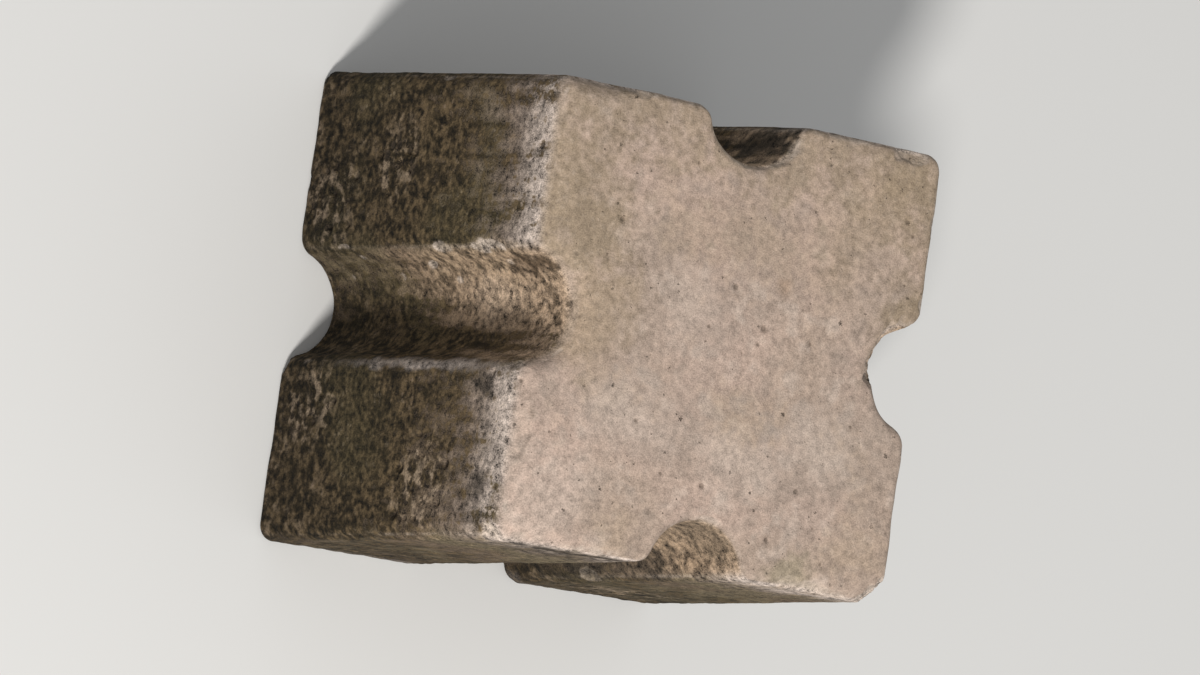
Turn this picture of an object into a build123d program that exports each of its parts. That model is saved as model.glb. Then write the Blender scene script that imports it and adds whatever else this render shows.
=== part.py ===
# A grooved concrete cube, the armour unit that covers the slope of a breakwater.
#
# It is one piece of plain mass concrete, cast upright in a steel form that is lifted off
# it, so its four sides lean inwards and its base is a little wider than its top. A round
# groove runs up the middle of each side, from the base to the top, parallel to the side.
# It takes an arm of the lifting clamp, and it lets water drain between packed cubes.
#
# Millimetres. The origin is the centre of the base, +Z is up, and X and Y face the sides.
from build123d import *

import os
from math import atan2, degrees

# The body, and how far each side comes in between the base and the top
height = 2000.0
base_width = 2172.0
side_batter = 81.0

# The grooves: the round of the form's rib, and how deep it reaches below the side
groove_radius = 230.0
groove_depth = 214.0

# The rounded edges: the four upright corners, the two lips of each groove, and the edge
# that runs round the top, in and out of the grooves
corner_radius = 75.0
lip_radius = 60.0
top_edge_radius = 40.0

# The flat bevel that the foot of the form leaves round the base, across and up
base_bevel = 25.0

# How far each side leans from upright, in degrees
side_lean = degrees(atan2(side_batter, height))

with BuildPart() as grooved_cube:
    # The body: the inside of the form, a square block whose sides lean inwards
    with BuildSketch(Plane.XY):
        Rectangle(base_width, base_width)
    extrude(amount=height, taper=side_lean)
    upright_corners = grooved_cube.edges().group_by(Axis.Z)[1]
    fillet(upright_corners, corner_radius)

    # The grooves: the rib's round section stands on each side at mid-height, square to
    # the side's slope, and is cut along that slope past both ends
    sides = grooved_cube.faces().filter_by(GeomType.PLANE).filter_by(Axis.Z, reverse=True)
    rib_sections = []
    for side in sides:
        outward = side.normal_at()
        across = Vector(0, 0, 1).cross(outward).normalized()
        rib_sections.append(
            Plane(
                origin=side.center() + outward * (groove_radius - groove_depth),
                x_dir=across,
                z_dir=outward.cross(across),
            )
        )
    with BuildSketch(*rib_sections):
        Circle(groove_radius)
    extrude(amount=height, both=True, mode=Mode.SUBTRACT)

    # The lips, where each groove opens in its side: of the straight edges that the cut
    # left, the ones that aren't level
    cut_lines = grooved_cube.edges(Select.LAST).filter_by(GeomType.LINE)
    lips = cut_lines.filter_by(Plane.XY, reverse=True)
    fillet(lips, lip_radius)

    # The edge round the top is rounded
    top_edges = grooved_cube.faces().sort_by(Axis.Z)[-1].edges()
    fillet(top_edges, top_edge_radius)

    # The edge round the base is bevelled
    base_edges = grooved_cube.faces().sort_by(Axis.Z)[0].edges()
    chamfer(base_edges, base_bevel)

grooved_cube.part.label = "grooved_cube"
os.makedirs("parts", exist_ok=True)
export_step(grooved_cube.part, "parts/grooved_cube.step")
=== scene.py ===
# %% [markdown]
# # A weathered armour cube of concrete
#
# The real object is an armour unit: a 2 m cube of plain mass concrete with leaning sides and
# a round groove up the middle of each one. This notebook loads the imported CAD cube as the
# frame, sets a camera and soft light, and then models the same cube again with the finish
# that years of sun and spray give it: worn edges, spalls, voids, and sides that are dark with
# growth below a bleached top. All lengths are in metres. East is +X and north is +Y, and the
# light, the spalls and the stains are placed by those names.

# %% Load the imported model
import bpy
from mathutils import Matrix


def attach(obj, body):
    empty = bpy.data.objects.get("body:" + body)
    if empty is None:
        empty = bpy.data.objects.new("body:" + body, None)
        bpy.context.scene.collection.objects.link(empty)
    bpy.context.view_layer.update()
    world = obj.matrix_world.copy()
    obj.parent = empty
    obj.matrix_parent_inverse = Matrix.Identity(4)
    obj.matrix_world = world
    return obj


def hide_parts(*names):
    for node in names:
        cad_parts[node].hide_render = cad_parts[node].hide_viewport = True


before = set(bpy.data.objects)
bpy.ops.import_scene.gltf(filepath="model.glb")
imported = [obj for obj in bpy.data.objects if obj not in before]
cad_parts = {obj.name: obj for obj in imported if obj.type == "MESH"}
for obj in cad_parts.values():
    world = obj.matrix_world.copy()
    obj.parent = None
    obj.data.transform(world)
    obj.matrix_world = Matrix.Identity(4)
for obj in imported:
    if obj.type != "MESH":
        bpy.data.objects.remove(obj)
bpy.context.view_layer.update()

# %% The other tools
import math
import random

import bpy
import numpy as np
from mathutils import Matrix, Vector, kdtree, noise

# %% [markdown]
# ## The camera
#
# The cube is seen from high up, 32 degrees off straight down, with north near the top of the
# picture, so it shows its top and, foreshortened, its west side. A Track To constraint could
# aim the camera, but it would hold the camera level, and this one is turned. So its three
# axes are worked out and written into its matrix. There is no lens shift and no depth of
# field.

# %% The camera
CAMERA_ELEVATION = math.radians(58)
CAMERA_DISTANCE = 25.3
AIM = Vector((-0.026, 0.019, 0.986))
picture_up = Vector((-0.165, 0.986, 0)).normalized()
towards_camera = Vector((
    -picture_up.y * math.cos(CAMERA_ELEVATION),
    picture_up.x * math.cos(CAMERA_ELEVATION),
    math.sin(CAMERA_ELEVATION),
))
picture_right = picture_up.cross(towards_camera)
bpy.ops.object.select_all(action="DESELECT")
bpy.ops.object.camera_add()
camera = bpy.context.object
camera.matrix_world = (
    Matrix.Translation(AIM + towards_camera * CAMERA_DISTANCE)
    @ Matrix((picture_right, picture_up, towards_camera)).transposed().to_4x4()
)
camera.data.sensor_width = 36
camera.data.lens = 170
camera.data.clip_end = 500
bpy.context.scene.camera = camera
print("camera at", tuple(round(v, 2) for v in camera.location))

# %% [markdown]
# ## Floor, light and sky
#
# The floor is a plain pale sheet, far larger than the view. One large soft lamp stands to the
# south-west, high up, so the top is lit fully, the south and west sides are lit at a slant,
# and the west groove shows a lit wall and a shaded one. A Sun light could do this too, but a
# round area lamp is easier to picture: its width against its distance sets how soft the
# shadow is. The sky fills in the shade. The camera sees the floor paler than the light that
# bounces off it, so that the pale floor doesn't wash out the darker sides.

# %% Helpers that add nodes
def add_node(tree, kind, inputs=None, **settings):
    """Adds a node, sets what is set on the node itself, and links or fills its inputs."""
    made = tree.nodes.new(kind)
    for name, value in settings.items():
        setattr(made, name, value)
    for name, value in (inputs or {}).items():
        socket = made.inputs[name]
        if isinstance(value, bpy.types.NodeSocket):
            tree.links.new(value, socket)
        else:
            socket.default_value = value
    return made


def seen_or_bounced(tree, seen, bounced):
    """One shader for what the camera sees, and another for all other light."""
    is_camera = add_node(tree, "ShaderNodeLightPath").outputs["Is Camera Ray"]
    shaders = {0: is_camera, 1: bounced.outputs[0], 2: seen.outputs[0]}
    return add_node(tree, "ShaderNodeMixShader", shaders).outputs[0]


# %% The floor
FLOOR_WIDTH = 400
FLOOR_GAP = 0.001
FLOOR_SEEN = (0.78, 0.77, 0.75, 1)
FLOOR_BOUNCE = (0.38, 0.37, 0.35, 1)
bpy.ops.mesh.primitive_plane_add(size=FLOOR_WIDTH, location=(0, 0, -FLOOR_GAP))
floor = bpy.context.object
floor.name = "floor"
floor_paint = bpy.data.materials.new("pale_floor")
floor_paint.use_nodes = True
tree = floor_paint.node_tree
tree.nodes.clear()
seen = add_node(tree, "ShaderNodeBsdfDiffuse", {"Color": FLOOR_SEEN})
bounced = add_node(tree, "ShaderNodeBsdfDiffuse", {"Color": FLOOR_BOUNCE})
add_node(tree, "ShaderNodeOutputMaterial", {"Surface": seen_or_bounced(tree, seen, bounced)})
floor.data.materials.append(floor_paint)
print("floor:", floor.dimensions.x, "m wide,", FLOOR_GAP * 1000, "mm below the cube")

# %% The sky
SKY_FILL = (0.96, 0.98, 1.0, 1)
SKY_STRENGTH = 0.40
BACKDROP = (0.86, 0.86, 0.85, 1)
sky = bpy.data.worlds.new("soft_sky")
bpy.context.scene.world = sky
sky.use_nodes = True
tree = sky.node_tree
tree.nodes.clear()
seen = add_node(tree, "ShaderNodeBackground", {"Color": BACKDROP, "Strength": 1.0})
bounced = add_node(tree, "ShaderNodeBackground", {"Color": SKY_FILL, "Strength": SKY_STRENGTH})
add_node(tree, "ShaderNodeOutputWorld", {"Surface": seen_or_bounced(tree, seen, bounced)})
print("sky:", len(tree.nodes), "nodes, strength", SKY_STRENGTH)

# %% The sun, as one large soft lamp
SUN_DIRECTION = Vector((-0.40, -0.56, 0.72)).normalized()
SUN_DISTANCE = 40
SUN_WIDTH = 6
SUN_POWER = 12200
SUN_COLOUR = (1.0, 0.985, 0.96)
bpy.ops.object.light_add(type="AREA", location=SUN_DIRECTION * SUN_DISTANCE)
sun = bpy.context.object
sun.name = "soft_sun"
sun.data.shape = "DISK"
sun.data.size = SUN_WIDTH
sun.data.energy = SUN_POWER
sun.data.color = SUN_COLOUR
sun.rotation_euler = SUN_DIRECTION.to_track_quat("Z", "Y").to_euler()
bpy.context.scene.view_settings.view_transform = "Standard"
print("lamp at", tuple(round(v, 1) for v in sun.location))

# %% [markdown]
# ## The cube as it was cast
#
# A plain cube is added at the size of the base, and its top face is scaled down, as the form
# tapers. Each groove is cut with a cylinder that leans with its side. Edge bevels could
# follow here, but on this cube every edge is worn by a different amount, so the edges are
# left sharp and rounded later, all at once, as wear.

# %% The cube's own sizes
HEIGHT = 2.0
BASE_WIDTH = 2.172
SIDE_BATTER = 0.081
GROOVE_RADIUS = 0.230
GROOVE_DEPTH = 0.214
side_lean = math.atan2(SIDE_BATTER, HEIGHT)
top_width = BASE_WIDTH - 2 * SIDE_BATTER
groove_outset = (GROOVE_RADIUS - GROOVE_DEPTH) / math.cos(side_lean)
print("base", BASE_WIDTH, "top", round(top_width, 3), "height", HEIGHT)

# %% The tapered block
bpy.ops.object.select_all(action="DESELECT")
bpy.ops.mesh.primitive_cube_add(size=1, location=(0, 0, HEIGHT / 2))
cube = bpy.context.object
cube.name = "weathered_cube"
cube.scale = (BASE_WIDTH, BASE_WIDTH, HEIGHT)
bpy.ops.object.transform_apply(location=True, rotation=True, scale=True)
for vertex in cube.data.vertices:
    vertex.select = vertex.co.z > HEIGHT / 2
for edge in cube.data.edges:
    edge.select = all(cube.data.vertices[v].select for v in edge.vertices)
for face in cube.data.polygons:
    face.select = face.normal.z > 0.9
bpy.ops.object.mode_set(mode="EDIT")
taper = top_width / BASE_WIDTH
bpy.ops.transform.resize(value=(taper, taper, 1), center_override=(0, 0, HEIGHT))
bpy.ops.object.mode_set(mode="OBJECT")
print("top width:", round(max(v.co.x for v in cube.data.vertices if v.co.z > 1) * 2, 4))

# %% From one side to the next
EAST, NORTH, WEST, SOUTH = range(4)


def quarter_turns(side):
    """Turns what was placed on the east side round to this side."""
    return Matrix.Rotation(math.radians(90 * side), 3, "Z")


# %% The four grooves
groove_middle = BASE_WIDTH / 2 - SIDE_BATTER / 2 + groove_outset
for side in (EAST, NORTH, WEST, SOUTH):
    outwards = Matrix.Translation((groove_middle, 0, HEIGHT / 2))
    lean = Matrix.Rotation(-side_lean, 4, "Y")
    bpy.ops.mesh.primitive_cylinder_add(vertices=128, radius=GROOVE_RADIUS, depth=HEIGHT * 1.4)
    rib = bpy.context.object
    rib.matrix_world = quarter_turns(side).to_4x4() @ outwards @ lean
    bpy.context.view_layer.update()
    bpy.ops.object.select_all(action="DESELECT")
    bpy.context.view_layer.objects.active = cube
    cube.select_set(True)
    cut = cube.modifiers.new("groove", "BOOLEAN")
    cut.operation = "DIFFERENCE"
    cut.solver = "EXACT"
    cut.object = rib
    bpy.ops.object.modifier_apply(modifier=cut.name)
    bpy.data.objects.remove(rib)
print("after the grooves:", len(cube.data.polygons), "faces")

# %% [markdown]
# ## A skin that can be worn
#
# Wear moves points, so the cube first needs an even skin of small faces. Subdividing would
# leave long thin faces beside the grooves. A voxel remesh gives an even skin, whatever the
# faces were before. It is made finer than the finished piece, which is thinned at the end.

# %% An even skin
VOXEL = 0.009
cube.data.remesh_voxel_size = VOXEL
cube.data.remesh_voxel_adaptivity = 0
bpy.ops.object.voxel_remesh()


def read_points(mesh):
    """The places of all points of a mesh, one row of x, y and z for each."""
    flat = np.empty(len(mesh.vertices) * 3)
    mesh.vertices.foreach_get("co", flat)
    return flat.reshape(-1, 3)


points = read_points(cube.data)
print("skin:", len(points), "points", points.min(0).round(4), points.max(0).round(4))

# %% [markdown]
# ## Rounding by wear
#
# A Bevel modifier rounds an edge by one width from end to end. To round it by a different
# amount at each place, the shape is written as a depth: how far a point lies below the
# nearest surface of the cube. Where two surfaces meet, their depths are combined with a
# radius, which rounds that edge. Each point of the skin is then moved along the slope of
# that depth until its depth is nought, and so it lies on the rounded shape.

# %% Depths below the sides and the grooves
lean_sin, lean_cos = math.sin(side_lean), math.cos(side_lean)


def each_side(x, y):
    """How far out of the middle, and how far across, a point lies for each of the sides."""
    return (x, y), (-x, y), (y, x), (-y, x)


def side_depth(out, z):
    """How far below the face of a side a point lies."""
    return (BASE_WIDTH / 2 - out) * lean_cos - z * lean_sin


def groove_depth(out, across, z):
    """How far below the wall of a groove a point lies."""
    from_axis = (out - BASE_WIDTH / 2 - groove_outset) * lean_cos + z * lean_sin
    return np.hypot(from_axis, across) - GROOVE_RADIUS


def rounded(a, b, radius):
    """The depth below two surfaces that meet in an edge of this radius."""
    corner = np.sqrt(np.maximum(radius - a, 0) ** 2 + np.maximum(radius - b, 0) ** 2)
    return np.maximum(radius, np.minimum(a, b)) - corner


def smooth_step(value, low, high):
    """Goes softly from 0 at low to 1 at high."""
    share = np.clip((value - low) / (high - low), 0, 1)
    return share * share * (3 - 2 * share)


# %% The radius of each kind of edge, and the depth below the worn cube
CORNER_RADIUS = 0.080
LIP_RADIUS = 0.064
TOP_RADIUS = 0.044
WEST_RIM_RADIUS = 0.105
WEST_RIM_STARTS, WEST_RIM_FULL = 0.55, 0.80
BASE_RADIUS = 0.034


def worn_depth(p, extra=0.0):
    """How deep each point lies, with this much more radius on every edge."""
    x, y, z = p[:, 0], p[:, 1], p[:, 2]
    east_west = np.minimum(side_depth(x, z), side_depth(-x, z))
    north_south = np.minimum(side_depth(y, z), side_depth(-y, z))
    depth = rounded(east_west, north_south, CORNER_RADIUS + extra)
    for out, across in each_side(x, y):
        depth = rounded(depth, groove_depth(out, across, z), LIP_RADIUS + extra)
    west_rim = smooth_step(-x, WEST_RIM_STARTS, WEST_RIM_FULL)
    top_radius = TOP_RADIUS + (WEST_RIM_RADIUS - TOP_RADIUS) * west_rim + extra
    depth = rounded(depth, HEIGHT - z, top_radius)
    return rounded(depth, z, BASE_RADIUS + extra)


print("depth of the cube's middle:", worn_depth(np.array([(0, 0, HEIGHT / 2)])).round(3))

# %% The way inwards
PROBE = 0.0005


def inward(p, extra=0.0):
    """The direction in which the depth grows fastest, at each point."""
    slope = np.empty_like(p)
    for axis in range(3):
        shift = np.zeros(3)
        shift[axis] = PROBE
        slope[:, axis] = worn_depth(p + shift, extra) - worn_depth(p - shift, extra)
    return slope / np.linalg.norm(slope, axis=1, keepdims=True)


def noise_at(p, size, seed):
    """Soft noise from about -1 to 1, with features of this size."""
    offset = np.array((seed * 13.7, seed * 5.3, seed * 9.1))
    return np.array([noise.noise(q) for q in (p / size + offset).tolist()])


# %% Wear the edges round, unevenly
MOST_EXTRA_RADIUS = 0.022
ROUNDS_OF_MOVING = 3
edge_noise = noise_at(points, 0.22, 1) * 0.5 + noise_at(points, 0.09, 2) * 0.3
extra_radius = MOST_EXTRA_RADIUS * np.clip(edge_noise + 0.35, 0, 1)
for _ in range(ROUNDS_OF_MOVING):
    points -= inward(points, extra_radius) * worn_depth(points, extra_radius)[:, None]
print("after rounding:", points.min(0).round(4), points.max(0).round(4))

# %% [markdown]
# ## An uneven skin
#
# The sides came off a steel form that bulged a little, and spray has roughened them, most
# near the foot. The top was only levelled by hand, so it is gently wavy. Displace modifiers
# with cloud textures could do this too, but then nothing would keep the cube inside its own
# size. Here every point sinks by a small positive depth, so the cube can only shrink.

# %% Sink the skin
SIDE_SWELL = 0.0045
SIDE_RIPPLE = 0.0022
SIDE_GRAIN = 0.0012
MORE_AT_THE_FOOT = 2.5
TOP_SWELL = 0.0030
TOP_RIPPLE = 0.0008
sideways = 1 - smooth_step(np.abs(inward(points)[:, 2]), 0.4, 0.9)
swell = noise_at(points, 0.75, 5)
ripple = noise_at(points * np.array((1, 1, 0.6)), 0.11, 6)
grain = noise_at(points, 0.045, 7)
foot = 1 - smooth_step(points[:, 2], 0.1, 0.8)
sunk_side = (
    SIDE_SWELL * (swell + 1)
    + SIDE_RIPPLE * (ripple + 1)
    + SIDE_GRAIN * (grain + 1) * (1 + MORE_AT_THE_FOOT * foot)
)
sunk_top = TOP_SWELL * (swell + 1) + TOP_RIPPLE * (ripple + 1)
sunk = sunk_top + (sunk_side - sunk_top) * sideways
points += inward(points) * sunk[:, None]
print("sunk by", (sunk.min() * 1000).round(1), "to", (sunk.max() * 1000).round(1), "mm")

# %% [markdown]
# ## Spalls
#
# An edge of concrete breaks away in spalls: shallow flakes, longest along the edge, with a
# ragged outline and a rough broken face. Each could be cut with a boolean, but a few hundred
# booleans are slow and leave knife-sharp edges. Here each spall is a shallow dish that
# presses the nearby points inwards, deepest in its middle. The points that were moved are
# remembered, because the paint is different there.

# %% The edges, as lines that spalls can sit on
mouth = math.sqrt(GROOVE_RADIUS ** 2 - (GROOVE_RADIUS - GROOVE_DEPTH) ** 2)


def side_at(z):
    """How far out the middle of a side stands at this height."""
    return BASE_WIDTH / 2 - z * SIDE_BATTER / HEIGHT


def edge_point(kind, share):
    """A point on one edge of the east side, and the way that the edge runs there."""
    z = HEIGHT * share
    if kind == "corner":
        run = Vector((-SIDE_BATTER, -SIDE_BATTER, HEIGHT))
        return Vector((side_at(z), side_at(z), z)), run.normalized()
    if kind in ("lip", "other_lip"):
        across = mouth if kind == "lip" else -mouth
        run = Vector((-SIDE_BATTER, 0, HEIGHT))
        return Vector((side_at(z), across, z)), run.normalized()
    z = HEIGHT if kind.startswith("top") else 0.0
    if kind.endswith("rim"):
        reach = side_at(z) - mouth
        if share < 0.5:
            across = mouth + 2 * reach * share
        else:
            across = -(mouth + 2 * reach * (share - 0.5))
        return Vector((side_at(z), across, z)), Vector((0, 1, 0))
    angle = math.pi * (0.5 + share)
    middle = side_at(z) + groove_outset
    place = Vector((middle + GROOVE_RADIUS * math.cos(angle), GROOVE_RADIUS * math.sin(angle), z))
    return place, Vector((-math.sin(angle), math.cos(angle), 0))


print("a groove's mouth is", round(2 * mouth, 3), "m wide before its lips are rounded")

# %% A quick way to find the points near a place
skin = kdtree.KDTree(len(points))
for index, point in enumerate(points):
    skin.insert(point, index)
skin.balance()


def near_points(place, reach):
    """The numbers of the skin's points that lie within reach of a place."""
    return np.array([index for _, index, _ in skin.find_range(place, reach)], dtype=int)


half_top = side_at(HEIGHT)
top_corner = (half_top, half_top, HEIGHT)
print("points within 0.1 m of a top corner:", len(near_points(top_corner, 0.1)))

# %% One spall
ragged = noise_at(points, 0.055, 8)
flakes = noise_at(points, 0.032, 3) * 0.6 + noise_at(points, 0.018, 4) * 0.4
broken = np.zeros(len(points))


def spall(place, run, bite, length, width, tilt=(0, 0, 0), roughness=0.35, fresh=1.0):
    """Presses the points round a place on an edge inwards, into a shallow rough dish.

    The edge runs along run. The dish is bite deep, and reaches length along the edge and
    width across it. Where it is fresh, the paint shows bare concrete.
    """
    place, run = np.array([place]), np.array(run)
    facing = inward(place + inward(place) * 0.03)[0] + np.array(tilt)
    facing -= run * (facing @ run)
    facing /= np.linalg.norm(facing)
    place = place - facing * worn_depth(place)[:, None]
    side = np.cross(run, facing)
    near = near_points(place[0], max(length, width) * 1.3 + bite)
    offset = points[near] - place
    inside = 1 - (offset @ run / length) ** 2 - (offset @ side / width) ** 2 - 0.5 * ragged[near]
    wanted = bite * smooth_step(inside, 0.0, 0.7) * (1 + roughness * flakes[near])
    move = np.where(inside > 0, np.clip(wanted - offset @ facing, 0, None), 0)
    points[near] += facing * move[:, None]
    broken[near] = np.maximum(broken[near], fresh * smooth_step(move, 0.0005, 0.004))


# %% Spalls of every size along the edges, most of them old and stained again
dice = random.Random(11)
age_dice = random.Random(5)
EDGE_KINDS = ("corner", "lip", "other_lip", "top_rim", "top_notch", "base_rim", "base_notch")
EDGE_ODDS = (5, 4, 4, 7, 4, 5, 2)
BITES_AND_COUNTS = ((0.005, 130), (0.009, 60), (0.016, 22), (0.026, 7))
for usual_bite, count in BITES_AND_COUNTS:
    for _ in range(count):
        kind = dice.choices(EDGE_KINDS, EDGE_ODDS)[0]
        place, run = edge_point(kind, dice.random())
        turn = quarter_turns(dice.randrange(4))
        tilt = [dice.uniform(-0.4, 0.4) for _ in range(3)]
        bite = usual_bite * dice.uniform(0.7, 1.3)
        length = 0.018 + bite * dice.uniform(2.5, 6.0)
        width = 0.02 + bite * dice.uniform(2, 3.5)
        fresh = 0.2 + 0.7 * age_dice.random() ** 2
        spall(turn @ place, turn @ run, bite, length, width, tilt, fresh=fresh)
print("points in spalls:", int((broken > 0.5).sum()))

# %% The spalls that this cube is known by, on its corners and on the west groove's north lip
UPRIGHT = Vector((0, 0, 1))
across_the_corner = Vector((1, 1, 0.3)).normalized()
spall((half_top, -half_top, HEIGHT), across_the_corner, 0.060, 0.19, 0.30, roughness=0.25)
spall((-side_at(1.93), -side_at(1.93), 1.93), UPRIGHT, 0.020, 0.12, 0.10)
spall((-side_at(1.55), mouth, 1.55), UPRIGHT, 0.018, 0.16, 0.07)
spall((-side_at(1.20), mouth, 1.20), UPRIGHT, 0.012, 0.10, 0.06)
print("points in spalls:", int((broken > 0.5).sum()))

# %% Flakes off the wall of the west groove: up, degrees round it, slant and length
FLAKE_BITE = 0.011
FLAKE_WIDTH = 0.024


def west_groove_place(z, degrees_north):
    """A place on the wall of the west groove, this far round from its deepest line."""
    angle = math.radians(degrees_north)
    middle = side_at(z) + groove_outset
    return Vector((-middle + GROOVE_RADIUS * math.cos(angle), GROOVE_RADIUS * math.sin(angle), z))


for z, degrees_north, slant, length in (
    (0.94, 52, 0.45, 0.085),
    (0.47, 66, -0.25, 0.045),
    (0.66, 38, 0.20, 0.040),
    (1.12, 34, 0.10, 0.038),
    (0.22, 36, 0.30, 0.045),
    (1.62, 58, -0.20, 0.050),
):
    place = west_groove_place(z, degrees_north)
    run = Vector((0, slant, 1)).normalized()
    spall(place, run, FLAKE_BITE, length, FLAKE_WIDTH, roughness=0.5)
print("points in spalls:", int((broken > 0.5).sum()))

# %% [markdown]
# ## Voids
#
# Air trapped against the steel form leaves round voids, and where the wet mix was badly
# packed the stones lie open in a nest of holes. The smallest voids are left to the paint's
# bump. Those wide enough to show in the mesh are pressed in like the spalls, one by one, so
# that their rims stay soft.

# %% One void
hollow = np.zeros(len(points))
nested = np.zeros(len(points))


def void(place, width, depth):
    """Sinks a round hole of this width, with an uneven rim."""
    place = np.array([place])
    facing = inward(place)
    place = place - facing * worn_depth(place)[:, None]
    near = near_points(place[0], width)
    away = np.linalg.norm(points[near] - place, axis=1) / (width / 2)
    share = smooth_step(1.2 - away + 0.4 * flakes[near], 0.0, 0.8)
    points[near] += facing * (depth * share)[:, None]
    hollow[near] = np.maximum(hollow[near], share)


def side_place(across, z, side):
    """A place on one of the sides, this far across it and up it."""
    return quarter_turns(side) @ Vector((side_at(z), across, z))


# %% Single voids, all over
SIDE_VOIDS = 190
TOP_VOIDS = 26
dice = random.Random(23)
for _ in range(SIDE_VOIDS):
    across = dice.uniform(-0.95, 0.95)
    z = HEIGHT * dice.random() ** 0.8
    side = dice.randrange(4)
    width = 0.024 + 0.026 * dice.random() ** 3
    void(side_place(across, z, side), width, width * dice.uniform(0.22, 0.40))
for _ in range(TOP_VOIDS):
    width = 0.022 + 0.020 * dice.random() ** 2
    void((dice.uniform(-0.9, 0.9), dice.uniform(-0.9, 0.9), HEIGHT), width, width * 0.28)
void(west_groove_place(1.32, 50), 0.060, 0.022)
print("points in voids:", int((hollow > 0.5).sum()))

# %% Nests of voids: across, up, how far they reach, on which side, how many
for across, up, reach, side, count in (
    (-0.46, 0.24, 0.24, WEST, 34),
    (-0.66, 0.74, 0.20, WEST, 20),
    (0.80, 1.32, 0.24, WEST, 26),
    (0.45, 0.30, 0.22, WEST, 18),
    (0.55, 0.35, 0.26, NORTH, 30),
    (-0.70, 0.90, 0.20, NORTH, 16),
    (-0.50, 0.28, 0.24, EAST, 28),
    (0.72, 1.10, 0.18, EAST, 14),
    (0.60, 0.45, 0.25, SOUTH, 26),
):
    away = np.linalg.norm(points - np.array(side_place(across, up, side)), axis=1) / reach
    nested = np.maximum(nested, smooth_step(1.15 - away + 0.45 * ragged, 0.0, 0.7))
    for _ in range(count):
        angle = dice.uniform(0, 2 * math.pi)
        out = reach * math.sqrt(dice.random())
        width = 0.026 + 0.030 * dice.random() ** 2
        above_foot = max(up + out * math.sin(angle), 0.05)
        place = side_place(across + out * math.cos(angle), above_foot, side)
        void(place, width, width * dice.uniform(0.25, 0.45))
print("points in voids:", int((hollow > 0.5).sum()), "in nests:", int((nested > 0.5).sum()))

# %% [markdown]
# ## From points back to a mesh
#
# The moved points go back into the mesh, and the mesh is thinned to a size that is easy to
# handle. A coarser remesh would blur the spalls, while Decimate keeps small faces where the
# skin is rough and takes them where it is flat. What is known about each point goes with it
# as attributes, which the paint reads: attributes stay with the surface and need no unwrapping.

# %% Put the points back, with what is known about them
def remember(name, values):
    """Keeps a number for each point of the cube, for the paint to read."""
    layer = cube.data.attributes.new(name, "FLOAT", "POINT")
    layer.data.foreach_set("value", values.astype(np.float32))


cube.data.vertices.foreach_set("co", points.ravel())
cube.data.update()
for name, values in {"broken": broken, "hollow": hollow, "nested": nested}.items():
    remember(name, values)
    print("remembered", name, "which is above a half at", int((values > 0.5).sum()), "points")

# %% Thin the skin
THIN_TO = 190000
thin = cube.modifiers.new("thin", "DECIMATE")
thin.ratio = min(1, THIN_TO / (2 * len(cube.data.polygons)))
bpy.context.view_layer.objects.active = cube
bpy.ops.object.modifier_apply(modifier=thin.name)
bpy.ops.object.shade_smooth()
print("thinned to", sum(len(f.vertices) - 2 for f in cube.data.polygons), "triangles")

# %% What the paint needs to know: near an edge, in a groove, and which way each point faces
points = read_points(cube.data)
x, y, z = points.T
sides = [side_depth(out, z) for out, _ in each_side(x, y)]
grooves = [groove_depth(out, across, z) for out, across in each_side(x, y)]
depths = np.sort(np.array([*sides, *grooves, HEIGHT - z, z]), axis=0)
second_nearest = depths[1]
remember("edge", 1 - smooth_step(second_nearest, 0.0, 0.10))
remember("groove", 1 - smooth_step(np.min(grooves, axis=0), 0.005, 0.045))
outward = -inward(points)
for axis, name in enumerate(("facing_east", "facing_north", "facing_up")):
    remember(name, outward[:, axis])
print("points near an edge:", int((second_nearest < 0.05).sum()), "of", len(points))

# %% [markdown]
# ## The finish
#
# The finish is one concrete in several states. The top is bleached by the sun to a pinkish
# beige with faint clouds. The sides carry a dark crust of growth that starts a hand's width
# below the top, thickest on the west and the north; on the west the extra darkness is partly
# painted shade. The grooves are tan where water runs down them. Edges and spalls show paler,
# bare concrete with its stones. An image could hold all of that, but it would need an
# unwrapped cube and would stretch when the block is resized, so the paint is built from noise
# that lives in the block's own space, and masks say which state shows where.

# %% Helpers for sums, masks and layers of colour
def calc(kind, first, second):
    """A Math node, in the tree that its first socket belongs to."""
    numbers = {0: first, 1: second}
    return add_node(first.id_data, "ShaderNodeMath", numbers, operation=kind).outputs[0]


def times(first, second):
    return calc("MULTIPLY", first, second)


def plus(first, second):
    return calc("ADD", first, second)


def most(first, second):
    return calc("MAXIMUM", first, second)


def off_middle(value):
    """Noise that swings round 0.5, made to swing round 0."""
    return calc("SUBTRACT", value, 0.5)


def fade(value, low, high):
    """A mask that goes softly from 0 at low to 1 at high."""
    limits = {"Value": value, "From Min": low, "From Max": high}
    soft = {"interpolation_type": "SMOOTHSTEP"}
    return add_node(value.id_data, "ShaderNodeMapRange", limits, **soft).outputs[0]


def lay(share, under, over):
    """Lays one colour over another, where the share says."""
    colours = {0: share, 6: under, 7: over}
    return add_node(share.id_data, "ShaderNodeMix", colours, data_type="RGBA").outputs[2]


# %% Helpers for places and noise
def vector_calc(kind, first, *others):
    """A Vector Math node, in the tree that its first socket belongs to."""
    inputs = dict(enumerate((first, *others)))
    made = add_node(first.id_data, "ShaderNodeVectorMath", inputs, operation=kind)
    return made.outputs["Value" if kind == "LENGTH" else "Vector"]


def clouds(where, size, detail, output="Fac"):
    """Soft noise around 0.5, with features of about this size in metres."""
    inputs = {"Vector": where, "Scale": 1 / size, "Detail": detail}
    return add_node(where.id_data, "ShaderNodeTexNoise", inputs).outputs[output]


def channels(colour):
    """The three numbers of a colour, used as three noises that don't match."""
    return add_node(colour.id_data, "ShaderNodeSeparateColor", {"Color": colour}).outputs


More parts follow.
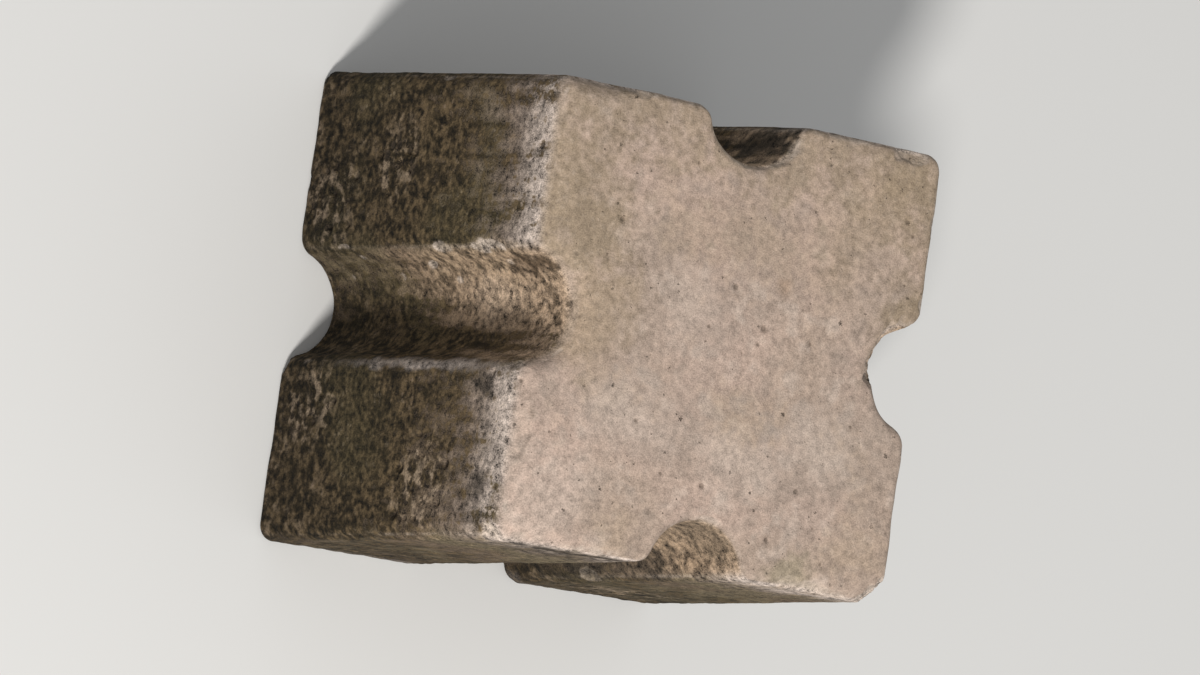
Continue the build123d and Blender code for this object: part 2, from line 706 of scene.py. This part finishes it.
# %% [markdown]
# ### Two effects that are used more than once
#
# Pits and stones are both round things scattered at random, so both start from a Voronoi
# texture, whose cells each have a middle and a colour of their own. The colour serves as
# dice: it decides how large a pit or a stone is, and whether a pit is there at all. They
# could be scattered as objects, but there are thousands. As node groups they are built once
# and placed in the paint as often as needed, each time with its own sizes.

# %% A helper that starts a node group
def new_group(name, inputs, outputs):
    """Starts a node group. An input with no value takes a place, the others take numbers."""
    group = bpy.data.node_groups.new(name, "ShaderNodeTree")
    for label, value in inputs.items():
        kind = "NodeSocketVector" if value is None else "NodeSocketFloat"
        socket = group.interface.new_socket(label, in_out="INPUT", socket_type=kind)
        if value is not None:
            socket.default_value = value
    for label in outputs:
        group.interface.new_socket(label, in_out="OUTPUT", socket_type="NodeSocketFloat")
    given = add_node(group, "NodeGroupInput").outputs
    result = add_node(group, "NodeGroupOutput").inputs
    return group, given, result


# %% Group: pits left by air bubbles
pits_group, given, result = new_group(
    "air_pits",
    {"Place": None, "Spacing": 0.05, "Width": 0.012, "Share": 0.5, "Ragged": 0.5},
    ("Mask",),
)
bubble_cell = {"Vector": given["Place"], "Scale": calc("POWER", given["Spacing"], -1.0)}
bubble = add_node(pits_group, "ShaderNodeTexVoronoi", bubble_cell)
chance = channels(bubble.outputs["Color"])
own_size = plus(times(calc("POWER", chance[1], 2.0), 0.7), 0.3)
radius = times(calc("DIVIDE", given["Width"], given["Spacing"]), own_size)
rim = plus(bubble.outputs["Distance"], times(radius, off_middle(given["Ragged"])))
dish = fade(rim, radius, times(radius, 0.3))
chosen = calc("LESS_THAN", chance[0], given["Share"])
pits_group.links.new(times(dish, chosen), result["Mask"])
print(pits_group.name, "has", len(pits_group.nodes), "nodes")

# %% Group: the stones in the concrete
stones_group, given, result = new_group(
    "bare_stones",
    {"Place": None, "Width": 0.03},
    ("Stone", "Tone"),
)
stone_cell = {"Vector": given["Place"], "Scale": calc("POWER", given["Width"], -1.0)}
pebble = add_node(stones_group, "ShaderNodeTexVoronoi", stone_cell)
chance = channels(pebble.outputs["Color"])
own_size = plus(times(chance[1], 0.40), 0.22)
pebble_mask = fade(pebble.outputs["Distance"], own_size, times(own_size, 0.55))
stones_group.links.new(pebble_mask, result["Stone"])
stones_group.links.new(chance[0], result["Tone"])
print(stones_group.name, "has", len(stones_group.nodes), "nodes")

# %% [markdown]
# ### Where the paint is: masks and shared noises
#
# The paint starts from masks: which way a face looks, how far below the top it is, whether
# it lies in a groove, on an edge or in a spall. A few noises of different sizes are made
# once and used for every state, because a texture for each would be slow, and because the
# states of real concrete follow the same uneven mix. Each state then gets its own colour,
# and they are laid one over the other as on the real block: concrete, its stones, the film
# and crust of growth, and then the edges that rubbing keeps bare.

# %% Start the paint
paint = bpy.data.materials.new("weathered_concrete")
paint.use_nodes = True
tree = paint.node_tree
tree.nodes.clear()
place = add_node(tree, "ShaderNodeTexCoord").outputs["Object"]
position = add_node(tree, "ShaderNodeSeparateXYZ", {"Vector": place}).outputs
height_up = position["Z"]
below_top = plus(times(height_up, -1.0), HEIGHT)
far_west = fade(position["X"], -0.60, -0.75)


def known(name):
    """What the mesh remembers under this name."""
    return add_node(tree, "ShaderNodeAttribute", attribute_name=name).outputs["Fac"]


on_edge = known("edge")
in_groove = known("groove")
in_spall = known("broken")
in_void = known("hollow")
in_nest = known("nested")
north = known("facing_north")
west = times(known("facing_east"), -1.0)
sideways = fade(known("facing_up"), 0.80, 0.20)
washed = times(in_groove, fade(north, 0.48, 0.22))
print("masks:", len(tree.nodes), "nodes")

# %% The noises that every state shares
broad = channels(clouds(place, 0.55, 1.0, "Color"))
medium = clouds(place, 0.13, 3.0)
mottle = clouds(place, 0.060, 2.0)
ragged_noise = clouds(place, 0.030, 2.0, "Color")
fine = channels(ragged_noise)[0]
sand = clouds(place, 0.0065, 1.0)
runs = clouds(vector_calc("MULTIPLY", place, (1.0, 1.0, 0.16)), 0.055, 2.0)
ragged_place = vector_calc("MULTIPLY_ADD", ragged_noise, (0.016, 0.016, 0.016), place)
print("with the shared noises:", len(tree.nodes), "nodes")

# %% [markdown]
# ### The bleached top
#
# The top lies in full sun and has bleached to a pinkish beige, with faint grey, white and
# ochre clouds, and a browner edge round the mouths of the grooves, where dirt collects. One
# noise through one colour ramp would look like camouflage, so several faint layers lie over
# each other, each from another noise.

# %% The bleached top
BLEACHED = (0.462, 0.350, 0.276, 1)
ROSY = (0.520, 0.386, 0.312, 1)
GREYED = (0.385, 0.302, 0.246, 1)
WHITENED = (0.570, 0.462, 0.385, 1)
OCHRE = (0.395, 0.295, 0.200, 1)
MOUTH_BROWN = (0.255, 0.195, 0.150, 1)
ochre_clouds = fade(plus(broad[1], times(mottle, 0.3)), 0.66, 0.84)
top_colour = lay(fade(broad[0], 0.40, 0.64), BLEACHED, ROSY)
top_colour = lay(times(fade(broad[2], 0.54, 0.40), 0.40), top_colour, GREYED)
top_colour = lay(times(fade(medium, 0.50, 0.30), 0.60), top_colour, GREYED)
top_colour = lay(times(fade(medium, 0.54, 0.72), 0.55), top_colour, WHITENED)
top_colour = lay(times(ochre_clouds, 0.35), top_colour, OCHRE)
top_colour = lay(times(in_groove, 0.62), top_colour, MOUTH_BROWN)
print("with the top:", len(tree.nodes), "nodes")

# %% [markdown]
# ### Marks that have a place
#
# Some stains can be pointed at: the dusty margins of the top, an ochre patch beside the west
# groove, a spot of rust. They could be brushed on by hand, but then they would be an image.
# Each is a soft ball of colour at a place on the block instead. The shared noises bend it
# and fray its outline, so that it looks like a stain and not like a ball.

# %% One mark
drift_parts = {"X": broad[1], "Y": medium, "Z": broad[2]}
drift = add_node(tree, "ShaderNodeCombineXYZ", drift_parts).outputs[0]
drift = vector_calc("SUBTRACT", drift, (0.5, 0.5, 0.5))


def mark(under, colour, centre, reach, strength):
    """Lays a mark of this colour over what is there, bent and frayed like a stain."""
    bend = 2.2 * min(reach)
    drifted = vector_calc("MULTIPLY_ADD", drift, (bend, bend, bend), place)
    offset = vector_calc("SUBTRACT", drifted, centre)
    away = vector_calc("LENGTH", vector_calc("DIVIDE", offset, reach))
    away = plus(away, times(off_middle(mottle), 0.9))
    return lay(times(fade(away, 1.0, 0.2), strength), under, colour)


# %% Marks on the top: where they are, how far they reach, how strong they are
DUSTY = (0.342, 0.259, 0.178, 1)
RUST = (0.300, 0.190, 0.115, 1)
SLATE = (0.330, 0.290, 0.265, 1)
OLIVE = (0.300, 0.262, 0.160, 1)
for mark_colour, spot, reach, strength in (
    (DUSTY, (0.00, 1.08), (1.60, 0.62), 0.75),
    (DUSTY, (-1.12, 0.48), (0.66, 0.85), 0.90),
    (DUSTY, (1.18, 0.48), (0.62, 0.95), 0.95),
    (OCHRE, (-0.68, 0.02), (0.24, 0.38), 0.70),
    (OCHRE, (0.72, 0.76), (0.26, 0.22), 0.35),
    (WHITENED, (-0.22, 0.12), (0.24, 0.26), 0.45),
    (WHITENED, (0.10, -0.50), (0.34, 0.24), 0.60),
    (WHITENED, (-0.46, -0.40), (0.36, 0.24), 0.55),
    (WHITENED, (0.55, -0.38), (0.32, 0.24), 0.60),
    (WHITENED, (-0.85, -0.80), (0.36, 0.34), 0.50),
    (SLATE, (0.29, -0.34), (0.07, 0.07), 0.30),
    (RUST, (0.26, 0.29), (0.06, 0.06), 0.40),
    (OLIVE, (0.48, -0.97), (0.22, 0.18), 0.45),
):
    top_colour = mark(top_colour, mark_colour, (*spot, HEIGHT), (*reach, 1.0), strength)
print("with the marks on the top:", len(tree.nodes), "nodes")

# %% [markdown]
# ### The concrete of the sides
#
# Under the growth the sides go from a pale rim to a darker grey, and the grooves are tan.
# Where the cement has gone, in spalls and nests and near the foot, the stones of the mix
# show. The stones could be modelled, but most are hardly larger than a face of the mesh.

# %% The concrete of the sides, below the growth
# The pale rim's bluish tint is painted sky-lit shade; its paleness is bleached concrete.
RIM_PALE = (0.535, 0.445, 0.385, 1)
SIDE_GREY = (0.238, 0.184, 0.148, 1)
GROOVE_TAN = (0.385, 0.275, 0.186, 1)
side_colour = lay(fade(below_top, 0.09, 0.36), RIM_PALE, SIDE_GREY)
side_colour = lay(times(in_groove, fade(below_top, -0.06, 0.04)), side_colour, GROOVE_TAN)
side_colour = lay(times(fade(medium, 0.50, 0.70), 0.4), side_colour, GROOVE_TAN)
colour = lay(sideways, top_colour, side_colour)
print("with the sides:", len(tree.nodes), "nodes")

# %% The stones that show where the cement has worn away
STONE_DARK = (0.190, 0.155, 0.125, 1)
STONE_PALE = (0.560, 0.460, 0.370, 1)
STONE_SPACING = 0.026
LEAST_BARE = 0.22


def stones(spacing):
    """The mask of the stones, this far apart, and how pale each one is."""
    inputs = {"Place": ragged_place, "Width": spacing}
    made = add_node(tree, "ShaderNodeGroup", inputs, node_tree=stones_group)
    return made.outputs["Stone"], made.outputs["Tone"]


stone, stone_tone = stones(STONE_SPACING)
bare = most(most(in_spall, in_nest), times(fade(height_up, 0.8, 0.0), 0.5))
stony = times(stone, most(bare, LEAST_BARE))
colour = lay(times(stony, 0.65), colour, lay(stone_tone, STONE_DARK, STONE_PALE))
print("with the stones:", len(tree.nodes), "nodes")

# %% [markdown]
# ### Film and growth
#
# Two things darken the sides. A thin film of dirt thickens downwards in runs, and over it
# grows a crust, in flecks that join up towards the foot. A plain gradient would give both a
# straight upper edge. Here the height only pushes a sum of noises over a threshold, so the
# edge breaks up into runs and flecks. Water keeps the walls of the grooves cleaner, apart
# from those that face north. Even there it leaves patches of film, most in the west groove.

# %% The film of dirt that thickens downwards
FILM = (0.136, 0.096, 0.060, 1)
FILM_OLIVE = (0.146, 0.113, 0.064, 1)
olive = plus(broad[2], plus(times(north, -0.12), times(in_groove, -0.15)))
film_colour = lay(fade(olive, 0.45, 0.64), FILM, FILM_OLIVE)
streaked = plus(below_top, times(plus(runs, medium), 0.55))
film = fade(plus(streaked, times(west, -0.08)), 0.56, 1.12)
rinsed = times(times(washed, fade(west, -0.4, 0.4)), fade(height_up, 0.3, 1.4))
film = times(times(film, sideways), plus(times(rinsed, -0.62), 0.90))
colour = lay(film, colour, film_colour)
patches = times(times(washed, sideways), fade(mottle, 0.55, 0.40))
colour = lay(times(patches, plus(times(far_west, 0.45), 0.15)), colour, FILM)
print("with the film:", len(tree.nodes), "nodes")

# %% How far the growth has spread
spread = plus(plus(times(medium, 0.55), times(fine, 0.60)), times(runs, 0.60))
# More crust on faces that look west and north; on the west this is partly painted shade.
spread = plus(spread, plus(times(west, 0.10), plus(times(north, 0.10), 0.045)))
spread = plus(spread, times(fade(below_top, 0.12, 1.30), 0.32))
kept_clean = times(washed, plus(times(fade(height_up, 0.2, 1.3), 0.7), 0.3))
spread = plus(spread, times(kept_clean, -0.30))
spread = plus(spread, times(in_nest, -0.06))
crust = times(fade(spread, 1.04, 1.18), sideways)
print("with the spread of the growth:", len(tree.nodes), "nodes")

# %% The crust of growth, with pale stones that come through it
CRUST_BLACK = (0.031, 0.022, 0.010, 1)
CRUST_BROWN = (0.104, 0.072, 0.038, 1)
CRUST_GREEN = (0.068, 0.055, 0.026, 1)
crust_grain = plus(plus(times(mottle, 0.30), times(fine, 0.35)), times(medium, 0.35))
crust_colour = lay(fade(crust_grain, 0.40, 0.62), CRUST_BLACK, CRUST_BROWN)
crust_colour = lay(times(fade(broad[2], 0.50, 0.68), 0.45), crust_colour, CRUST_GREEN)
fleck_places = most(times(fade(height_up, 0.9, 0.1), 0.6), fade(medium, 0.50, 0.62))
pale_stone = times(stone, fade(stone_tone, 0.50, 0.75))
crust = times(crust, plus(times(times(pale_stone, fleck_places), -0.85), 0.96))
colour = lay(crust, colour, crust_colour)
print("with the crust:", len(tree.nodes), "nodes")

# %% Marks on the sides and in the grooves: growth, and some painted shade
BROWN_GROWTH = (0.092, 0.062, 0.038, 1)
SANDY = (0.450, 0.335, 0.240, 1)
# The darkest colour serves both as growth and as painted shade, mark by mark below.
DARK_GROWTH_AND_SHADE = (0.055, 0.044, 0.033, 1)
RUBBED = (0.430, 0.365, 0.325, 1)
# The dark line colour here is painted shade.
PAINTED_SHADE_LINE = (0.038, 0.027, 0.017, 1)
DULL_TAN = (0.212, 0.156, 0.106, 1)
for mark_colour, spot, reach, strength in (
    (SANDY, (-0.84, 0.06, 1.42), (0.18, 0.15, 0.36), 0.80),
    (BROWN_GROWTH, (-0.91, 0.20, 1.80), (0.17, 0.085, 0.30), 0.95),
    (DARK_GROWTH_AND_SHADE, (-1.02, -0.36, 1.70), (0.10, 0.07, 0.12), 0.75),
    (RUBBED, (-1.03, -0.262, 1.20), (0.16, 0.040, 0.90), 0.85),
    # Partly growth, partly painted shade: the south side's west half darkened below the rim.
    (DARK_GROWTH_AND_SHADE, (-0.60, -1.02, 1.70), (0.50, 0.16, 0.22), 0.50),
    # Painted shade: a dark line just under the south top edge, west half, standing for the shaded
    # inside of the south groove below its west lip.
    (PAINTED_SHADE_LINE, (-0.52, -1.01, 1.87), (0.62, 0.16, 0.12), 0.90),
    # Painted shade: the inside of the north groove darkened.
    (DARK_GROWTH_AND_SHADE, (0.14, 0.95, 1.70), (0.24, 0.22, 0.80), 0.90),
    (DARK_GROWTH_AND_SHADE, (-1.02, -0.80, 1.80), (0.14, 0.13, 0.14), 0.70),
    (DULL_TAN, (0.02, -0.80, 1.84), (0.38, 0.28, 0.52), 0.85),
    # Painted shade: the east wall of the south groove darkened.
    (DARK_GROWTH_AND_SHADE, (0.20, -0.96, 0.90), (0.14, 0.18, 0.95), 0.85),
    (RUBBED, (-0.20, -1.08, 0.06), (0.90, 0.10, 0.08), 0.50),
):
    colour = mark(colour, mark_colour, spot, reach, times(sideways, strength))
print("with the marks on the sides:", len(tree.nodes), "nodes")

# %% [markdown]
# ### Bare edges, honeycomb and pits
#
# Rubbing keeps the outer edges pale, and the broken faces of the spalls are as pale as they.
# Where the mix was badly packed, the side shows honeycomb: dark holes with paler ridges
# between them. Small pits lie everywhere. The mesh already holds the largest of these
# holes. The rest are too many and too small for it, so they are masks, which darken the
# colour here and sink the relief further down.

# %% Bare edges and spalls
BARE = (0.500, 0.415, 0.345, 1)
rubbed_places = fade(plus(times(medium, 0.6), times(fine, 0.4)), 0.42, 0.58)
clean_edge = times(fade(on_edge, 0.62, 0.98), rubbed_places)
clean_edge = times(clean_edge, plus(times(fade(height_up, 0.2, 1.8), 0.55), 0.25))
clean_edge = times(clean_edge, plus(times(in_groove, -0.65), 1.0))
colour = lay(clean_edge, colour, BARE)
colour = lay(times(in_spall, plus(times(fade(medium, 0.35, 0.6), 0.5), 0.4)), colour, BARE)
print("with the edges:", len(tree.nodes), "nodes")

# %% Honeycomb: the holes and the pale ridges between them
COMB_SPACING = 0.052
RIDGE = (0.330, 0.250, 0.178, 1)
PIT_DARK = (0.052, 0.038, 0.026, 1)
comb, comb_tone = stones(COMB_SPACING)
comb_hole = times(comb, fade(comb_tone, 0.60, 0.40))
comb_ridge = times(calc("SUBTRACT", comb, 1.0), -1.0)
near_foot = times(fade(height_up, 0.75, 0.10), times(fade(medium, 0.50, 0.66), 0.6))
comb_zone = most(in_nest, near_foot)
ridge_share = times(fade(mottle, 0.46, 0.62), 0.60)
colour = lay(times(times(comb_zone, comb_ridge), ridge_share), colour, RIDGE)
colour = lay(times(times(comb_zone, comb_hole), 0.85), colour, PIT_DARK)
print("with the honeycomb:", len(tree.nodes), "nodes")

# %% Pits of two sizes, and the inside of the voids
def pits(spacing, width, share):
    """A mask of pits this wide, in this share of the cells of this spacing."""
    inputs = {"Place": ragged_place, "Spacing": spacing, "Width": width, "Share": share}
    inputs["Ragged"] = plus(times(sand, 1.6), -0.3)
    return add_node(tree, "ShaderNodeGroup", inputs, node_tree=pits_group).outputs[0]


pit_clusters = fade(broad[1], 0.60, 0.42)
small_pits = pits(0.036, 0.009, plus(times(pit_clusters, 0.30), 0.12))
large_pits = pits(0.110, 0.018, plus(times(pit_clusters, 0.50), 0.15))
deep_in_void = times(fade(in_void, 0.35, 0.9), plus(times(sideways, 0.3), 0.5))
any_pit = most(times(small_pits, 0.55), times(large_pits, 0.75))
colour = lay(most(any_pit, deep_in_void), colour, PIT_DARK)
print("with the pits:", len(tree.nodes), "nodes")

# %% [markdown]
# ### Speckle, relief and the shader
#
# No two grains of concrete have the same shade, and the sides are more mixed than the
# rubbed top, so every grain is made a little lighter or darker. The relief comes from the
# same noises as the colours. A separate bump texture would be simpler, but then a dark pit
# could lie on a bump. The surface is matt: its roughness is high, and its specular level is
# half of the usual 0.5.

# %% Speckle: every grain and stain a little lighter or darker, and a darker foot that is partly painted shade
contrast = plus(times(sideways, 1.25), 0.95)
mottle_share = plus(times(sideways, 0.42), 0.16)
speckle = plus(off_middle(fine), off_middle(sand))
speckle = plus(speckle, times(off_middle(mottle), mottle_share))
brightness = plus(times(speckle, contrast), 1.0)
# The sides darken towards the foot: partly damp, partly painted shade.
damp_and_shaded_foot = plus(times(times(fade(height_up, 1.1, 0.0), sideways), -0.35), 1.0)
scaling = {0: colour, "Scale": times(brightness, damp_and_shaded_foot)}
colour = add_node(tree, "ShaderNodeVectorMath", scaling, operation="SCALE").outputs[0]
print("with the speckle:", len(tree.nodes), "nodes")

# %% Relief too fine for the mesh, in metres
SAND_RELIEF = 0.0018
STONE_RELIEF = 0.003
COMB_RELIEF = -0.009
SMALL_PIT_RELIEF = -0.003
LARGE_PIT_RELIEF = -0.006
fine_relief = plus(times(sideways, 0.003), 0.0012)
relief = plus(times(sand, SAND_RELIEF), times(fine, fine_relief))
relief = plus(relief, times(stony, STONE_RELIEF))
relief = plus(relief, times(times(comb_zone, comb_hole), COMB_RELIEF))
relief = plus(relief, times(small_pits, SMALL_PIT_RELIEF))
relief = plus(relief, times(large_pits, LARGE_PIT_RELIEF))
bump = add_node(tree, "ShaderNodeBump", {"Height": relief, "Strength": 1.0, "Distance": 1.0})
print("with the relief:", len(tree.nodes), "nodes")

# %% The shader
roughness = plus(times(fine, 0.25), 0.76)
shader = add_node(tree, "ShaderNodeBsdfPrincipled", {
    "Base Color": colour,
    "Roughness": roughness,
    "Specular IOR Level": 0.25,
    "Normal": bump.outputs[0],
})
add_node(tree, "ShaderNodeOutputMaterial", {"Surface": shader.outputs[0]})
cube.data.materials.clear()
cube.data.materials.append(paint)
print(paint.name, "has", len(tree.nodes), "nodes")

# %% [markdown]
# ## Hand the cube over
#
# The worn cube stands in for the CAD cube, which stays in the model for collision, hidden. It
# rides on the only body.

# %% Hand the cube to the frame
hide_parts("grooved_cube")
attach(cube, "root")
